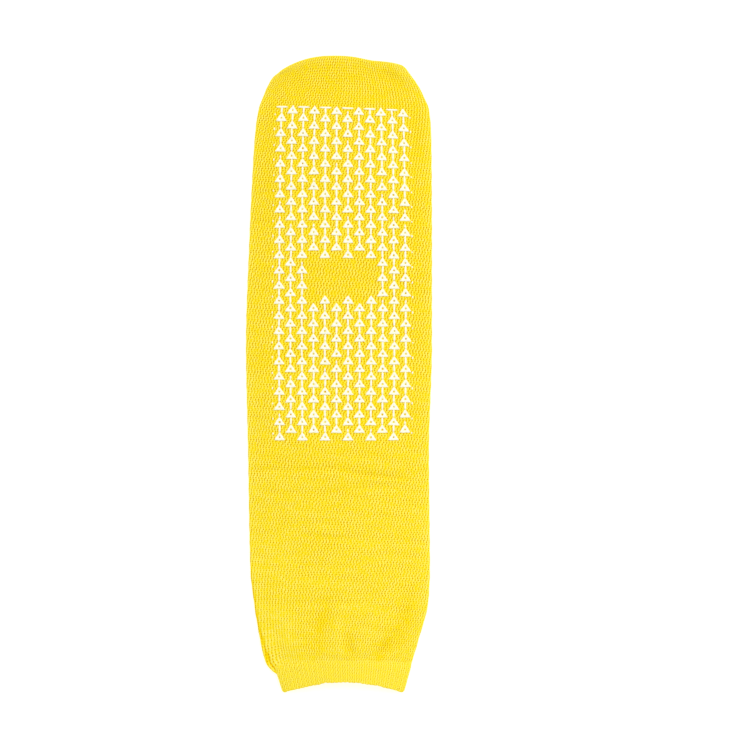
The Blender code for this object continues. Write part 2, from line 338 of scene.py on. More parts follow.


# %% Painted shade in the folds and painted light along the edges
# The shade map paints shade into the yarn in the creases' troughs and along the rolled left fold and
# its groove. It paints light along both side folds and the toe's front edge.
STRIP_FROM, STRIP_RISE = 0.62, 0.08  # up the leg the left fold rolls in, faintly at first
STRIP_FAINT, STRIP_FULL = 0.4, 0.6
ROLL_FROM, ROLL_RISE = 0.76, 0.10  # and from here on fully, behind a small groove
ROLL_AT = 0.0004  # how far in from the fold this groove runs, before it moves further in
ROLL_MOVES = [(0.0005, 0.66, 0.20), (0.0013, 0.88, 0.07)]  # how far, from where, over what share
ROLL_WIDTH = 0.0006
ROLL_LINE_WIDTH = 0.00045
ROLL_DEPTH = 0.0009
# a crease this deep gets the full painted shade
FULL_CREASE = 0.0016  # a crease this deep has the full effect
# painted shade on the strip of the rolled fold, and a painted dark line of shade along its groove
ROLL_SHADE = 0.6  # the strip of the rolled left fold
ROLL_LINE = 2.7  # the dark line beside it
EDGE_LIGHT = 0.42  # the folds at both sides catch more light
EDGE_REACH = 0.010
TOE_LIGHT = 0.60  # and so does the toe's front edge
TOE_REACH = 0.0040


def roll_in(at):
    """How far in from the left fold its groove runs."""
    inward = ROLL_AT
    for move, start, share in ROLL_MOVES:
        inward = inward + move * smooth((at - start) / share)
    return inward


def painted_fold_shade(at, x, y, slack):
    """How much shade is painted on the yarn: above 0 in a trough and on the rolled fold, below 0, as
    painted light, on an edge.
    """
    from_left = x + left_share(at) * TUBE_WIDTH
    from_edge = np.minimum(from_left, right_share(at) * TUBE_WIDTH - x)
    rolled = STRIP_FAINT + STRIP_FULL * smooth((at - ROLL_FROM) / ROLL_RISE)
    rolled = smooth((at - STRIP_FROM) / STRIP_RISE) * rolled
    strip = rolled * smooth(1.5 - from_left / roll_in(at))
    line = rolled * np.exp(-(((from_left - roll_in(at)) / ROLL_LINE_WIDTH) ** 2))
    edge = EDGE_LIGHT * smooth(1.0 - from_edge / EDGE_REACH) * (1.0 - strip)
    toe = TOE_LIGHT * smooth(1.0 - at * RUN / TOE_REACH)
    trough = crease_depth(x, y) / FULL_CREASE if slack else 0.0
    return trough + ROLL_SHADE * strip + ROLL_LINE * line - edge - toe


print("creases and ridges set by hand:", len(CREASES))

# %% [markdown]
# ## The knitted faces
# The tube is plain jersey: columns of stitches, called wales, and rows, called courses. Each
# face holds 60 wales. The mesh is a grid with four columns of points for each wale and, on the
# grip side, two rows for each course, just enough to raise the wales and to dot them with
# loops; finer yarn is left to bump. A Displace modifier could raise a plain grid as well, but
# here every point knows its wale and course. So the wales can spiral a little round the tube,
# as twisted yarn makes them, and each stitch can lean to the side that the terry pulls it to.

# %% Stitch sizes
WALES = 60  # in one face
WALE_POINTS = 4
COLUMNS = WALES * WALE_POINTS
COURSE = 0.00117  # pitch of the courses
STITCH_RELIEF = 0.00038
TUCK = 0.0010  # how far the leg runs on under the welt
TUCK_DIP = 0.0001
TUCK_ROWS = 4
WALE_WANDER = 0.0012  # how far a wale strays, as a share of the face's width
COURSE_WANDER = 0.0006  # how far a course strays, in metres
TWIST = 0.12  # how far the wales move aside in a course as they spiral, in wales
print(f"wales {TUBE_WIDTH / WALES * 1000:.2f} mm apart, courses {COURSE * 1000:.2f} mm")

# %% Rows of points
Row = namedtuple("Row", "course at drop angle tucked")


def knit_rows(per_course, fold=KNIT_FOLD):
    """Rows of points from the toe's edge to under the welt."""
    step = COURSE / per_course
    around = np.linspace(math.pi / 2, 0.0, max(2, round(math.pi / 2 * fold / step)), endpoint=False)
    body = int(CUFF_AT * RUN / step)
    rows = [Row(i * step / COURSE, 0.0, 0.0, angle, 0.0) for i, angle in enumerate(around)]
    first = len(rows)
    for i in range(body + 1):
        rows.append(Row((first + i) * step / COURSE, CUFF_AT * i / body, 0.0, 0.0, 0.0))
    last = rows[-1].course
    for i in range(1, TUCK_ROWS + 1):
        part = i / TUCK_ROWS
        at = CUFF_AT + part * TUCK / RUN
        rows.append(Row(last + part * TUCK / COURSE, at, part * TUCK_DIP, 0.0, part))
    return rows


print("courses from the toe to the welt:", round(knit_rows(1)[-1].course))

# %% [markdown]
# ## Stitches that lean
# Behind each stitch hangs a loop of terry, which pulls it aside, now to the left and now to the
# right. So the wales zigzag, and small holes open between them in slanting rows, which the
# yarn's colour darkens with painted shade. A noise texture could scatter such holes, but not in
# rows. Here one number, the phase, says how a stitch leans: it grows by one from each lean to
# the next on the same side. The mesh and the colour of the yarn both read it, so they always agree.

# %% Which way each stitch leans
LEAN = 0.18  # how far the terry behind pulls each stitch aside, in wales
LEAN_COURSES = 3.1  # courses from one lean to the next on the same side
LEAN_SHARPNESS = 3.0
QUICK_TOE, QUICK_COURSES = 0.10, 45  # the leans follow each other sooner at the toe
ROW_SLANT = -0.11  # leans line up in rows, and these fall to the right
WELT_SLANT, WELT_SLANT_WALES = 3.8, 12  # but over the welt's left corner they run otherwise
WELT_SLANT_FROM, WELT_SLANT_RISE = 200, 80  # in courses
TOE_SLANT, TOE_SLANT_WALES, TOE_SLANT_COURSES = 4.0, 20, 60  # and at the toe's left corner
DRIFT, DRIFT_WALES, DRIFT_COURSES = 0.45, 5.0, 9.0  # slow unevenness of these rows
JITTER, JITTER_WALES, JITTER_COURSES = 0.16, 1.1, 1.4  # and that of single stitches


def lean_phase(wale, course):
    """Where a stitch is in its lean: whole numbers and halves are upright."""
    drift = DRIFT * soft_noise(wale / DRIFT_WALES, course / DRIFT_COURSES, seed=31)
    jitter = JITTER * soft_noise(wale / JITTER_WALES, course / JITTER_COURSES, seed=32)
    slant = ROW_SLANT * wale
    at_welt = smooth((course - WELT_SLANT_FROM) / WELT_SLANT_RISE)
    slant = slant + WELT_SLANT * (1 - np.exp(-wale / WELT_SLANT_WALES)) * at_welt
    at_toe = smooth(1.2 - course / TOE_SLANT_COURSES)
    slant = slant - TOE_SLANT * (1 - np.exp(-wale / TOE_SLANT_WALES)) * at_toe
    quick = QUICK_TOE * np.minimum(course, QUICK_COURSES)
    return course / LEAN_COURSES + quick + drift + jitter + slant


# %% Where the stitches lean less
# At both places the knit is stretched, and its wales show as plain ribs.
WELT_RIBS, WELT_RIBS_WALES = 0.60, 12  # over the welt's left corner
WELT_RIBS_FROM, WELT_RIBS_RISE = 215, 60  # in courses
TOE_RIBS, TOE_RIBS_FROM, TOE_RIBS_RISE = 0.40, 24, 16  # right at the toe, in wales
TOE_RIBS_END, TOE_RIBS_FADE = 75, 30  # in courses
UPRIGHT_FOLD = 0.04  # share of a face's width at each side fold where no stitch leans fully


def plain_ribs(wale, course):
    """How far the wales show as plain ribs."""
    corner_wales = smooth(1.6 - wale / WELT_RIBS_WALES)
    corner_ribs = smooth((course - WELT_RIBS_FROM) / WELT_RIBS_RISE) * corner_wales
    toe_courses = smooth((TOE_RIBS_END - course) / TOE_RIBS_FADE)
    toe_ribs = smooth((wale - TOE_RIBS_FROM) / TOE_RIBS_RISE) * toe_courses
    return WELT_RIBS * corner_ribs + TOE_RIBS * toe_ribs


def leaning(wale, course):
    """1 where stitches lean fully, falling to 0 at the side folds and lower over plain ribs."""
    middle = smooth((0.5 - np.abs(wale / WALES - 0.5)) / UPRIGHT_FOLD)
    return middle * (1.0 - plain_ribs(wale, course))


# %% The relief of the stitches
GROOVE_DEPTH, LOOP_DEPTH = 0.68, 0.32  # their shares of the relief
GROOVE_UPRIGHT, GROOVE_LEANING = 0.40, 0.60  # a groove opens where its stitches lean


def jersey(wale, course, twist):
    """Height of the knitting, from 0 in a hole to 1 on a loop."""
    swing = np.sin(2 * math.pi * lean_phase(wale, course))
    lean = LEAN * leaning(wale, course) * np.tanh(LEAN_SHARPNESS * swing)
    wale = wale + twist * course + lean
    across = np.abs(2 * (wale % 1.0) - 1.0)
    loop = 0.5 + 0.5 * np.cos(2 * math.pi * (course + 0.5 * across))
    groove = across**2 * (GROOVE_UPRIGHT + GROOVE_LEANING * swing**2)
    return 1.0 - GROOVE_DEPTH * groove - LOOP_DEPTH * (1.0 - loop)


print(f"relief from hole to loop: {STITCH_RELIEF * 1000:.2f} mm")


# %% Which way a face looks
def face_normals(points, outward):
    """Unit normals of a grid of points; outward is 1 on the grip side, -1 on the plain side."""
    normal = np.cross(np.gradient(points, axis=1), -np.gradient(points, axis=0))
    length = np.linalg.norm(normal, axis=2, keepdims=True)
    return outward * normal / np.maximum(length, 1e-12)


# %% [markdown]
# ## Slack over the welt
# The elastic welt is narrower than the leg. At the left the slack leg hangs over the welt's
# corner, and its side fold rolls in behind a small groove. A cloth simulation would find such a
# sag by itself, but it would move every wale a little each time. So the points near that fold
# are moved out, down and in by a few smooth steps, and all others stay where they are.

# %% The leg sags over the welt at its left fold
BULGE = 0.0026
BULGE_FROM, BULGE_PEAK = 0.84, 0.945
BULGE_RETURN = 0.0046  # how far the fold comes back in, where it hangs over the welt
RETURN_FROM = 0.938
OVERHANG = 0.0070
OVERHANG_FROM = 0.885
OVERHANG_WIDTH = 0.0120  # how far in from the fold it reaches


def overhang(points, at, tucked, slack):
    """The points, moved out and down where the slack leg hangs past the welt's corner."""
    x = points[..., 0]
    fold_x = -left_share(at) * TUBE_WIDTH
    near = smooth(1.0 - (x - fold_x) / OVERHANG_WIDTH) ** 2
    back = 1.0 - tucked
    rise = BULGE * smooth((at - BULGE_FROM) / (BULGE_PEAK - BULGE_FROM)) * back
    turn_in = np.clip((at - RETURN_FROM) / (CUFF_AT - RETURN_FROM), 0.0, 1.0) ** 2 * back
    drop = np.maximum(0.0, (at - OVERHANG_FROM) / (CUFF_AT - OVERHANG_FROM)) ** 2 * back
    groove = np.exp(-(((x - fold_x - roll_in(at)) / ROLL_WIDTH) ** 2))
    groove = ROLL_DEPTH * groove * smooth((at - ROLL_FROM) / (BULGE_PEAK - ROLL_FROM)) * back
    points[..., 0] = x - (rise - BULGE_RETURN * turn_in) * near
    points[..., 1] -= OVERHANG * drop * near
    if slack:
        points[..., 2] -= groove


print(f"at the fold itself the leg comes down by {OVERHANG * 1000:.0f} mm")

# %% One face as a grid of points
CORNER_POWER = 12  # the toe's round edge is cut across at its two corners
STRAIGHT_FOLD = 0.10  # share of a face's width at each side fold where nothing strays
STRAIGHT_ENDS = 12  # nor does it in the first and the last twelfth of the run
WALE_HUMPS, RUN_HUMPS = 9, 17  # how often a wale strays across a face and along the run
COURSE_HUMP_X, COURSE_HUMP_Y = 0.013, 0.010


def bare_face(line, rows, columns, reach_at_rest, slack):
    """The smooth form under the stitches, and the wale, course and painted shade of each point."""
    share = np.linspace(0.0, 1.0, columns + 1)
    inner = smooth((0.5 - np.abs(share - 0.5)) / STRAIGHT_FOLD)
    grid = []
    for row in rows:
        along = np.full_like(share, row.at * RUN_HUMPS)
        wander = WALE_WANDER * inner * soft_noise(share * WALE_HUMPS, along, seed=11)
        reach = reach_at_rest - row.drop
        ahead, spread = reach * math.sin(row.angle), reach * math.cos(row.angle)
        curve = line(row.at, KNIT_FOLD, spread, 0.0, ahead)
        x = curve[:, 0]
        off_middle = np.abs(2 * (x - x.min()) / (x.max() - x.min()) - 1)
        curve[:, 1] -= (ahead + spread - reach) * off_middle**CORNER_POWER
        grid.append(spaced(curve, columns, wander))
    points = np.array(grid)
    at = np.array([row.at for row in rows])[:, None]
    shade = painted_fold_shade(at, points[..., 0], points[..., 1], slack)
    overhang(points, at, np.array([row.tucked for row in rows])[:, None], slack)
    x, y = points[..., 0], points[..., 1]
    calm = inner * smooth(at * STRAIGHT_ENDS) * smooth((CUFF_AT - at) * STRAIGHT_ENDS)
    humps = soft_noise(x / COURSE_HUMP_X + 40, y / COURSE_HUMP_Y + 40, seed=7)
    y += COURSE_WANDER * calm * humps
    if slack:
        points[..., 2] += settled(at, x, y)
    wale = np.broadcast_to(share * WALES, x.shape)
    course = np.broadcast_to(np.array([row.course for row in rows])[:, None], x.shape)
    return points, np.stack([wale, course, shade], 2)


def knit_face(line, rows, outward):
    """One knitted face: its points, and their stitch numbers."""
    reach = KNIT_FOLD - STITCH_RELIEF
    points, stitches = bare_face(line, rows, COLUMNS, reach, outward > 0)
    relief = STITCH_RELIEF * jersey(stitches[..., 0], stitches[..., 1], TWIST * outward)
    points = points + face_normals(points, outward) * relief[..., None]
    points[..., 2] = np.maximum(points[..., 2], 0.0)
    return points, stitches


# %% From a grid to a mesh
def grid_mesh(name, points, stitches, flip=False, ring=False, twist=0.0):
    """A piece from a grid of points, with the stitch numbers in its UV maps."""
    rows, columns = points.shape[:2]
    index = np.arange(rows * columns).reshape(rows, columns)
    if ring:
        index = np.concatenate([index, index[:1]])
    a, b = index[:-1, :-1], index[:-1, 1:]
    c, d = index[1:, 1:], index[1:, :-1]
    faces = np.stack((a, b, c, d) if flip else (a, d, c, b), 2).reshape(-1, 4)
    stitches = stitches.reshape(-1, stitches.shape[2])
    return faces_mesh(name, points.reshape(-1, 3), faces, stitches, twist)


def faces_mesh(name, points, faces, stitches, twist=0.0):
    """A smooth piece from points and faces; stitches hold wale, course and maybe painted shade."""
    stitches = np.pad(stitches, ((0, 0), (0, 3 - stitches.shape[1])))
    mesh = bpy.data.meshes.new(name)
    mesh.from_pydata(points, [], faces)
    corners = np.empty(len(mesh.loops), np.int32)
    mesh.loops.foreach_get("vertex_index", corners)
    wale, course, shade = stitches.T
    lean_map = np.stack([lean_phase(wale, course), leaning(wale, course)], 1)
    shade_map = np.stack([shade, 0.0 * shade], 1)
    knit_map = np.stack([wale + twist * course, course], 1)
    maps = (("knit", knit_map), ("lean", lean_map), ("shade", shade_map))
    for map_name, numbers in maps:
        layer = mesh.uv_layers.new(name=map_name)
        layer.data.foreach_set("uv", numbers[corners].astype(np.float32).ravel())
    mesh.shade_smooth()
    piece = bpy.data.objects.new(name, mesh)
    bpy.context.scene.collection.objects.link(piece)
    print(f"{name}: {sum(len(face) - 2 for face in faces)} triangles")
    return piece


# %% The grip side and the plain side
fine_rows = knit_rows(2)
coarse_rows = knit_rows(1)
grip_points, grip_stitches = knit_face(grip_line, fine_rows, 1)
plain_points, plain_stitches = knit_face(plain_line, coarse_rows, -1)
grip_points[0] = plain_points[0] = (grip_points[0] + plain_points[0]) / 2  # one front edge
split = len(fine_rows) // 2  # the grip side is cut here, to keep each mesh light

foot, leg = slice(None, split + 1), slice(split, None)
knit_foot = grid_mesh("knit_foot_grip_side", grip_points[foot], grip_stitches[foot], twist=TWIST)
knit_leg = grid_mesh("knit_leg_grip_side", grip_points[leg], grip_stitches[leg], twist=TWIST)
knit_plain = grid_mesh("knit_plain_side", plain_points, plain_stitches, flip=True, twist=-TWIST)

# %% [markdown]
# ## The terry inside
# Slipper socks are lined with their own loops: the same yarn stands up inside as terry. It
# shows only through the mouth, so a coarser grid does, with round bumps for the loops. A
# Solidify modifier would give the wall in one step, but it could not give its two faces
# different stitches.

# %% Lining
LOOP_RELIEF = 0.0006
SHORT_LOOP = 0.2  # the shortest loop, as a share of the longest
LINING_COLUMNS = 150
LINING_FOLD = 0.05  # share of a face's width at each fold where the loops lie down
EDGE_SUNK = 0.0004  # how deep the edges inside the mouth end in the wall


def lining_face(line, rows, outward):
    """One ply of the lining, its loops standing into the sock."""
    points, stitches = bare_face(line, rows, LINING_COLUMNS, SIDE_HOLLOW, outward > 0)
    wale = stitches[..., 0]
    loops = np.random.default_rng(3).uniform(SHORT_LOOP, 1.0, wale.shape)
    edge = smooth((0.5 - np.abs(wale / WALES - 0.5)) / LINING_FOLD)
    height = LOOP_RELIEF * (loops * edge)[..., None]
    points = points - face_normals(points, outward) * height
    return points, stitches


lining_rows = knit_rows(1, SIDE_HOLLOW)
lining_rows = lining_rows[:1] + lining_rows[1:-1:2] + lining_rows[-1:]
lining_rows[-1] = lining_rows[-1]._replace(drop=-EDGE_SUNK)
upper, upper_stitches = lining_face(grip_line, lining_rows, 1)
lower, lower_stitches = lining_face(plain_line, lining_rows, -1)
# Both plies end in the same right fold, so the lower one gives no points for it.
lining = grid_mesh(
    "terry_lining",
    np.concatenate([upper, lower[:, -2::-1]], 1),
    np.concatenate([upper_stitches, lower_stitches[:, -2::-1]], 1),
    flip=True,
)

# %% [markdown]
# ## The welt
# The mouth ends in an elastic welt: a doubled band in rib, where every second wale sinks in.
# Its section is followed once round, up the outside, over the rounded lip and back down
# inside, and that line is swept round the mouth. A Screw or a curve with a bevel sweeps a
# section too, but neither lets the ribs stand square to a band that bends.

# %% Section of the welt
WELT_ROUND = 0.00022
ROUND_STEPS = 4
LIP = CUFF_WALL / 2
LIP_STEPS = 9
INSIDE_STEP = 0.0018

WeltRow = namedtuple("WeltRow", "depth reach inside course")


def welt_section():
    """Rows round the section: depth from the leg towards the mouth, and reach from the core."""
    edge = CUFF_FOLD
    line = []
    for angle in np.linspace(0.0, math.pi / 2, ROUND_STEPS, endpoint=False):
        depth = WELT_ROUND * (1 - math.cos(angle))
        line.append((depth, edge - WELT_ROUND * (1 - math.sin(angle)), False))
    straight = np.arange(WELT_ROUND, CUFF_DEPTH - LIP, COURSE / 2)
    line += [(depth, edge, False) for depth in straight]
    for angle in np.linspace(math.pi / 2, -math.pi / 2, LIP_STEPS):
        depth = CUFF_DEPTH - LIP + LIP * math.cos(angle)
        line.append((depth, edge - LIP + LIP * math.sin(angle), False))
    inside = np.arange(CUFF_DEPTH - LIP - INSIDE_STEP, 0.0, -INSIDE_STEP)
    line += [(depth, SIDE_HOLLOW, True) for depth in inside]
    line.append((0.0, SIDE_HOLLOW + EDGE_SUNK, True))
    walked = np.cumsum([0.0] + [math.dist(a[:2], b[:2]) for a, b in zip(line, line[1:])])
    return [WeltRow(*spot, step / COURSE) for spot, step in zip(line, walked)]


welt_rows = welt_section()
print("rows round the welt's section:", len(welt_rows))

# %% Ribs round the mouth
WELT_START = 0.0040  # the band rises from the leg's surface over this length
RIB_RELIEF = 0.00032
RIB_POWER = 2.2
RIB_PART, LOOP_PART = 0.75, 0.25  # of this relief


def welt_ring(row):
    """One ring round the welt, from the left fold over the grip side and back underneath."""
    at = CUFF_AT + row.depth / RUN
    reach = row.reach - (CUFF_FOLD - KNIT_FOLD)
    own = 1.0 if row.inside else smooth(row.depth / WELT_START)
    ring = []
    for line in (grip_line, plain_line):
        band = spaced(line(at, CUFF_FOLD, row.reach, CUFF_STEP), COLUMNS)
        leg = spaced(line(at, KNIT_FOLD, reach), COLUMNS)
        ring.append(leg + (band - leg) * own)
    over, under = ring
    return np.concatenate([over, under[::-1][1:]])


welt = np.array([welt_ring(row) for row in welt_rows])
heart = np.array([welt_ring(row._replace(reach=(CUFF_FOLD + SIDE_HOLLOW) / 2)) for row in welt_rows])
wale = np.broadcast_to(np.arange(2 * COLUMNS + 1) / WALE_POINTS, welt.shape[:2])
course = np.broadcast_to(np.array([row.course for row in welt_rows])[:, None], wale.shape)
rib = 1 - np.abs(2 * ((wale / 2) % 1.0) - 1) ** RIB_POWER
loop = 0.5 + 0.5 * np.cos(2 * math.pi * (course + 0.5 * np.abs(2 * (wale % 1.0) - 1)))
sink = RIB_RELIEF * (1 - RIB_PART * rib - LOOP_PART * loop)
towards = heart - welt
towards /= np.maximum(np.linalg.norm(towards, axis=2, keepdims=True), 1e-9)
welt = welt + towards * sink[..., None]

# %% The lip's small waves
LIP_WAVE, LIP_WAVE_WALES = 0.00045, 3.1
LIP_RIB = 0.00030  # how far the ribs stand out along the lip

# The waves take the last third of the band.
near_lip = smooth(np.array([row.depth / CUFF_DEPTH for row in welt_rows]) * 3 - 2)[:, None]
waves = LIP_WAVE * soft_noise(wale / LIP_WAVE_WALES, np.full_like(wale, 0.5), seed=21)
waves = waves + LIP_RIB * (rib - 0.5)
welt[..., 1] -= near_lip * waves
cuff_welt = grid_mesh("cuff_welt_knit", welt, np.stack([wale, course], 2), ring=True)

# %% [markdown]
# ## The linked toe
# Machine knitters close a tube by linking: a fine chain runs along the last course and pulls
# both edges together. It lies just under the toe's front edge. Two strands are wound round
# each other along that line, and short cross stitches hold them. A curve object with a bevel
# makes such strands too; here each is a small tube of its own, so that the twist is exact.

# %% Strands and stitches
SEAM_ANGLE = 60.0  # degrees below the toe's front edge
SEAM_SPAN = 0.94  # share of the toe's width
SEAM_POINTS = 220
STRAND = 0.00040  # radius of one strand
STRANDS_APART = 0.8  # how far a strand winds off the line, in radii
WIND_PITCH = 0.0024
SEAM_REACH = KNIT_FOLD + STRAND
CROSS_PITCH = 0.0021
CROSS_FROM, CROSS_TO = -150, 30  # degrees round the line
CROSS_RADIUS = 0.00085
CROSS_SLANT = 0.0003
CROSS_STRAND = 0.00022
SEAM_GRAIN = 900  # its colours change over about a millimetre


def seam_centre(side):
    """A point of the linking line."""
    x, y, z, _ = core(np.float64(0.0), side, KNIT_FOLD)
    turn = math.radians(SEAM_ANGLE)
    return np.stack([x, y + SEAM_REACH * math.cos(turn), z - SEAM_REACH * math.sin(turn)], -1)


def yarn_tube(path, radius, sides=6):
    """Points and faces of a thin tube along a path, with closed ends."""
    ahead = np.gradient(path, axis=0)
    ahead /= np.linalg.norm(ahead, axis=1, keepdims=True)
    sideways = np.cross(ahead, [0.0, 0.0, 1.0]) + 1e-9
    sideways /= np.linalg.norm(sideways, axis=1, keepdims=True)
    upward = np.cross(sideways, ahead)
    turn = np.arange(sides) * 2 * math.pi / sides
    offset = sideways[:, None] * np.cos(turn)[:, None] + upward[:, None] * np.sin(turn)[:, None]
    points = (path[:, None] + radius * offset).reshape(-1, 3)
    index = np.arange(len(path) * sides).reshape(-1, sides)
    after = np.roll(index, -1, axis=1)
    faces = np.stack([index[:-1], after[:-1], after[1:], index[1:]], 2).reshape(-1, 4).tolist()
    return points, faces + [index[0][::-1].tolist(), index[-1].tolist()]


# %% The linking line
def join(parts):
    """One list of points and faces from many."""
    points, faces, count = [], [], 0
    for some_points, some_faces in parts:
        points.append(some_points)
        faces += [[count + corner for corner in face] for face in some_faces]
        count += len(some_points)
    return np.concatenate(points), faces


seam_side = np.linspace(-SEAM_SPAN, SEAM_SPAN, SEAM_POINTS)
seam_line = seam_centre(seam_side)
seam_along = np.concatenate([[0.0], np.cumsum(np.linalg.norm(np.diff(seam_line, axis=0), axis=1))])
strands = []
for start in (0.0, math.pi):
    wind = seam_along / WIND_PITCH * 2 * math.pi + start
    offset = np.stack([wind * 0, np.cos(wind), np.sin(wind)], 1) * STRAND * STRANDS_APART
    strands.append(yarn_tube(seam_line + offset, STRAND))
stitch_count = int(seam_along[-1] / CROSS_PITCH)
for i in range(stitch_count):
    here = (i + 0.5) / stitch_count * seam_along[-1]
    centre = np.array([np.interp(here, seam_along, seam_line[:, axis]) for axis in range(3)])
    turn = np.linspace(math.radians(CROSS_FROM), math.radians(CROSS_TO), 8)
    slant = (turn - turn.mean()) * CROSS_SLANT
    arc = np.stack([slant, np.cos(turn) * CROSS_RADIUS, np.sin(turn) * CROSS_RADIUS], 1)
    strands.append(yarn_tube(centre + arc, CROSS_STRAND, sides=5))
points, faces = join(strands)
toe_seam = faces_mesh("toe_seam_stitches", points, faces, points[:, :2] * SEAM_GRAIN)
print(f"linking line: {seam_along[-1] * 1000:.0f} mm, cross stitches: {stitch_count}")

# %% [markdown]
# ## The grip print
# A soft plastic paste is pressed through a stencil onto the finished sock and baked, so that
# it stands proud of the stitches with rounded edges. It keeps the sock from slipping. The
# print is rows of small triangles with a pinhole, each linked to the next by a hairline. Real
# print is never even, so each motif gets its own small faults. An Array modifier would repeat
# one motif exactly; here each is laid on the knit point by point, as the paste is.

# %% Places of the print
GRIP_COLUMNS = 12
GRIP_ROWS = 22
GRIP_COLUMN_PITCH = 0.0064
GRIP_ROW_PITCH = 0.0084
GRIP_BASE = 0.0065
GRIP_HEIGHT = 0.0048
GRIP_STEM = 0.0012
GRIP_BAR = 0.0011
GRIP_THICKNESS = 0.0006
GRIP_START = 0.0297  # from the toe tip
GRIP_OFFSET = 0.0020  # the print stands a little to the right
CLEAR_COLUMNS = 6  # the middle columns stop at a bare window
CLEAR_START = 0.0840
CLEAR_DEPTH = 0.0180
GRIP_FOLLOW = 0.55  # how far the columns draw in where the sock narrows
GRIP_LEAN = 0.030  # the first rows slant down to the right
GRIP_LEAN_REACH = 0.60

GRIP_TOP = SOCK_LENGTH / 2 - GRIP_START
CLEAR_FROM = GRIP_TOP - CLEAR_START
CLEAR_TO = CLEAR_FROM - CLEAR_DEPTH
CLEAR_FIRST = (GRIP_COLUMNS - CLEAR_COLUMNS) // 2


def laid(x, y, lift):
    """Points of the print on the knit, for flat places x and y and heights over the knit."""
    y = y - GRIP_LEAN * x * fade((GRIP_TOP - y) / (GRIP_ROWS * GRIP_ROW_PITCH), GRIP_LEAN_REACH)
    at = (SEAM_Y - y) / RUN
    left = KNIT_FOLD - left_share(at) * TUBE_WIDTH
    right = right_share(at) * TUBE_WIDTH - KNIT_FOLD
    narrowing = 1 - (right - left) / (TUBE_WIDTH - 2 * KNIT_FOLD)
    x = x * (1 - GRIP_FOLLOW * narrowing)
    _, _, z, slope = core(at, (2 * x - left - right) / (right - left), KNIT_FOLD)
    z = z + KNIT_FOLD * np.hypot(1.0, slope) + settled(at, x, y)
    return np.stack([x, y, z + lift], -1)


# %% One triangle with its pinhole
MOTIF_POINTS = 24
FINE = 8  # finer points for each of these, while the corners are rounded
PINHOLE = 0.00056  # radius
HOLE_HEIGHT = 0.36  # where it stands, as a share of the motif's height
CORNER = 0.0003


def rounded_triangle():
    """An upright triangle with rounded corners, from the middle of its base, going round."""
    half = GRIP_BASE / 2
    corners = [(-half, 0.0), (half, 0.0), (0.0, GRIP_HEIGHT)]
    middle = np.mean(corners, axis=0)
    outline = []
    for angle in np.linspace(0, 2 * math.pi, 721)[:-1]:
        direction = np.array([math.cos(angle), math.sin(angle)])
        reach = []
        for a, b in zip(corners, corners[1:] + corners[:1]):
            edge = np.subtract(b, a)
            outward = np.array([edge[1], -edge[0]]) / np.hypot(*edge)
            facing = direction @ outward
            if facing > 1e-6:
                reach.append((np.subtract(a, middle) @ outward) / facing)
        outline.append(middle + direction * min(reach))
    outline = np.array(outline)
    step = np.concatenate([[0], np.cumsum(np.linalg.norm(np.diff(outline, axis=0), axis=1))])
    even = np.linspace(0, step[-1], MOTIF_POINTS * FINE, endpoint=False)
    even = np.stack([np.interp(even, step, outline[:, k]) for k in (0, 1)], 1)
    width = max(1, round(CORNER / (step[-1] / len(even))))
    blurred = sum(np.roll(even, k, axis=0) for k in range(-width, width + 1)) / (2 * width + 1)
    return blurred[::FINE]


TRIANGLE = rounded_triangle()
HOLE_AT = np.array([0.0, GRIP_HEIGHT * HOLE_HEIGHT])
print("points round a motif:", len(TRIANGLE))

# %% Its rings, from the knit up over the paste and down into the pinhole
SUNK = -0.0003  # how far the print goes down between the stitches
RAGGED = 0.045  # unevenness of the outline, as a share of its distance from the pinhole
ROUND_OFF = 0.0003  # width of the rounded rim


def motif(x, y, faults):
    """Points and faces of one printed triangle with its base middle at x, y."""
    count = len(TRIANGLE)
    ragged = 1 + RAGGED * faults.normal(size=count)
    outline = HOLE_AT + (TRIANGLE - HOLE_AT) * ragged[:, None]
    inward = HOLE_AT - outline
    inward = inward / np.linalg.norm(inward, axis=1, keepdims=True)
    around = np.arctan2(-inward[:, 1], -inward[:, 0])
    hole = np.stack([np.cos(around), np.sin(around)], 1) * PINHOLE * faults.uniform(0.75, 1.1)
    rings = [
        (outline, SUNK),
        (outline, GRIP_THICKNESS * 0.55),
        (outline + inward * ROUND_OFF, GRIP_THICKNESS),
        (HOLE_AT + hole * 1.3, GRIP_THICKNESS),
        (HOLE_AT + hole, GRIP_THICKNESS * 0.5),
        (HOLE_AT + hole, SUNK),
    ]
    points = [laid(x + ring[:, 0], y + ring[:, 1], lift) for ring, lift in rings]
    index = np.arange(len(rings) * count).reshape(-1, count)
    after = np.roll(index, -1, axis=1)
    faces = np.stack([index[:-1], after[:-1], after[1:], index[1:]], 2).reshape(-1, 4)
    return np.concatenate(points), faces.tolist()


# %% Hairlines, bars and dots
STROKE_STEP = 0.0009
STROKE_TIP = 0.35  # how wide a stroke's ends are, as a share of its middle


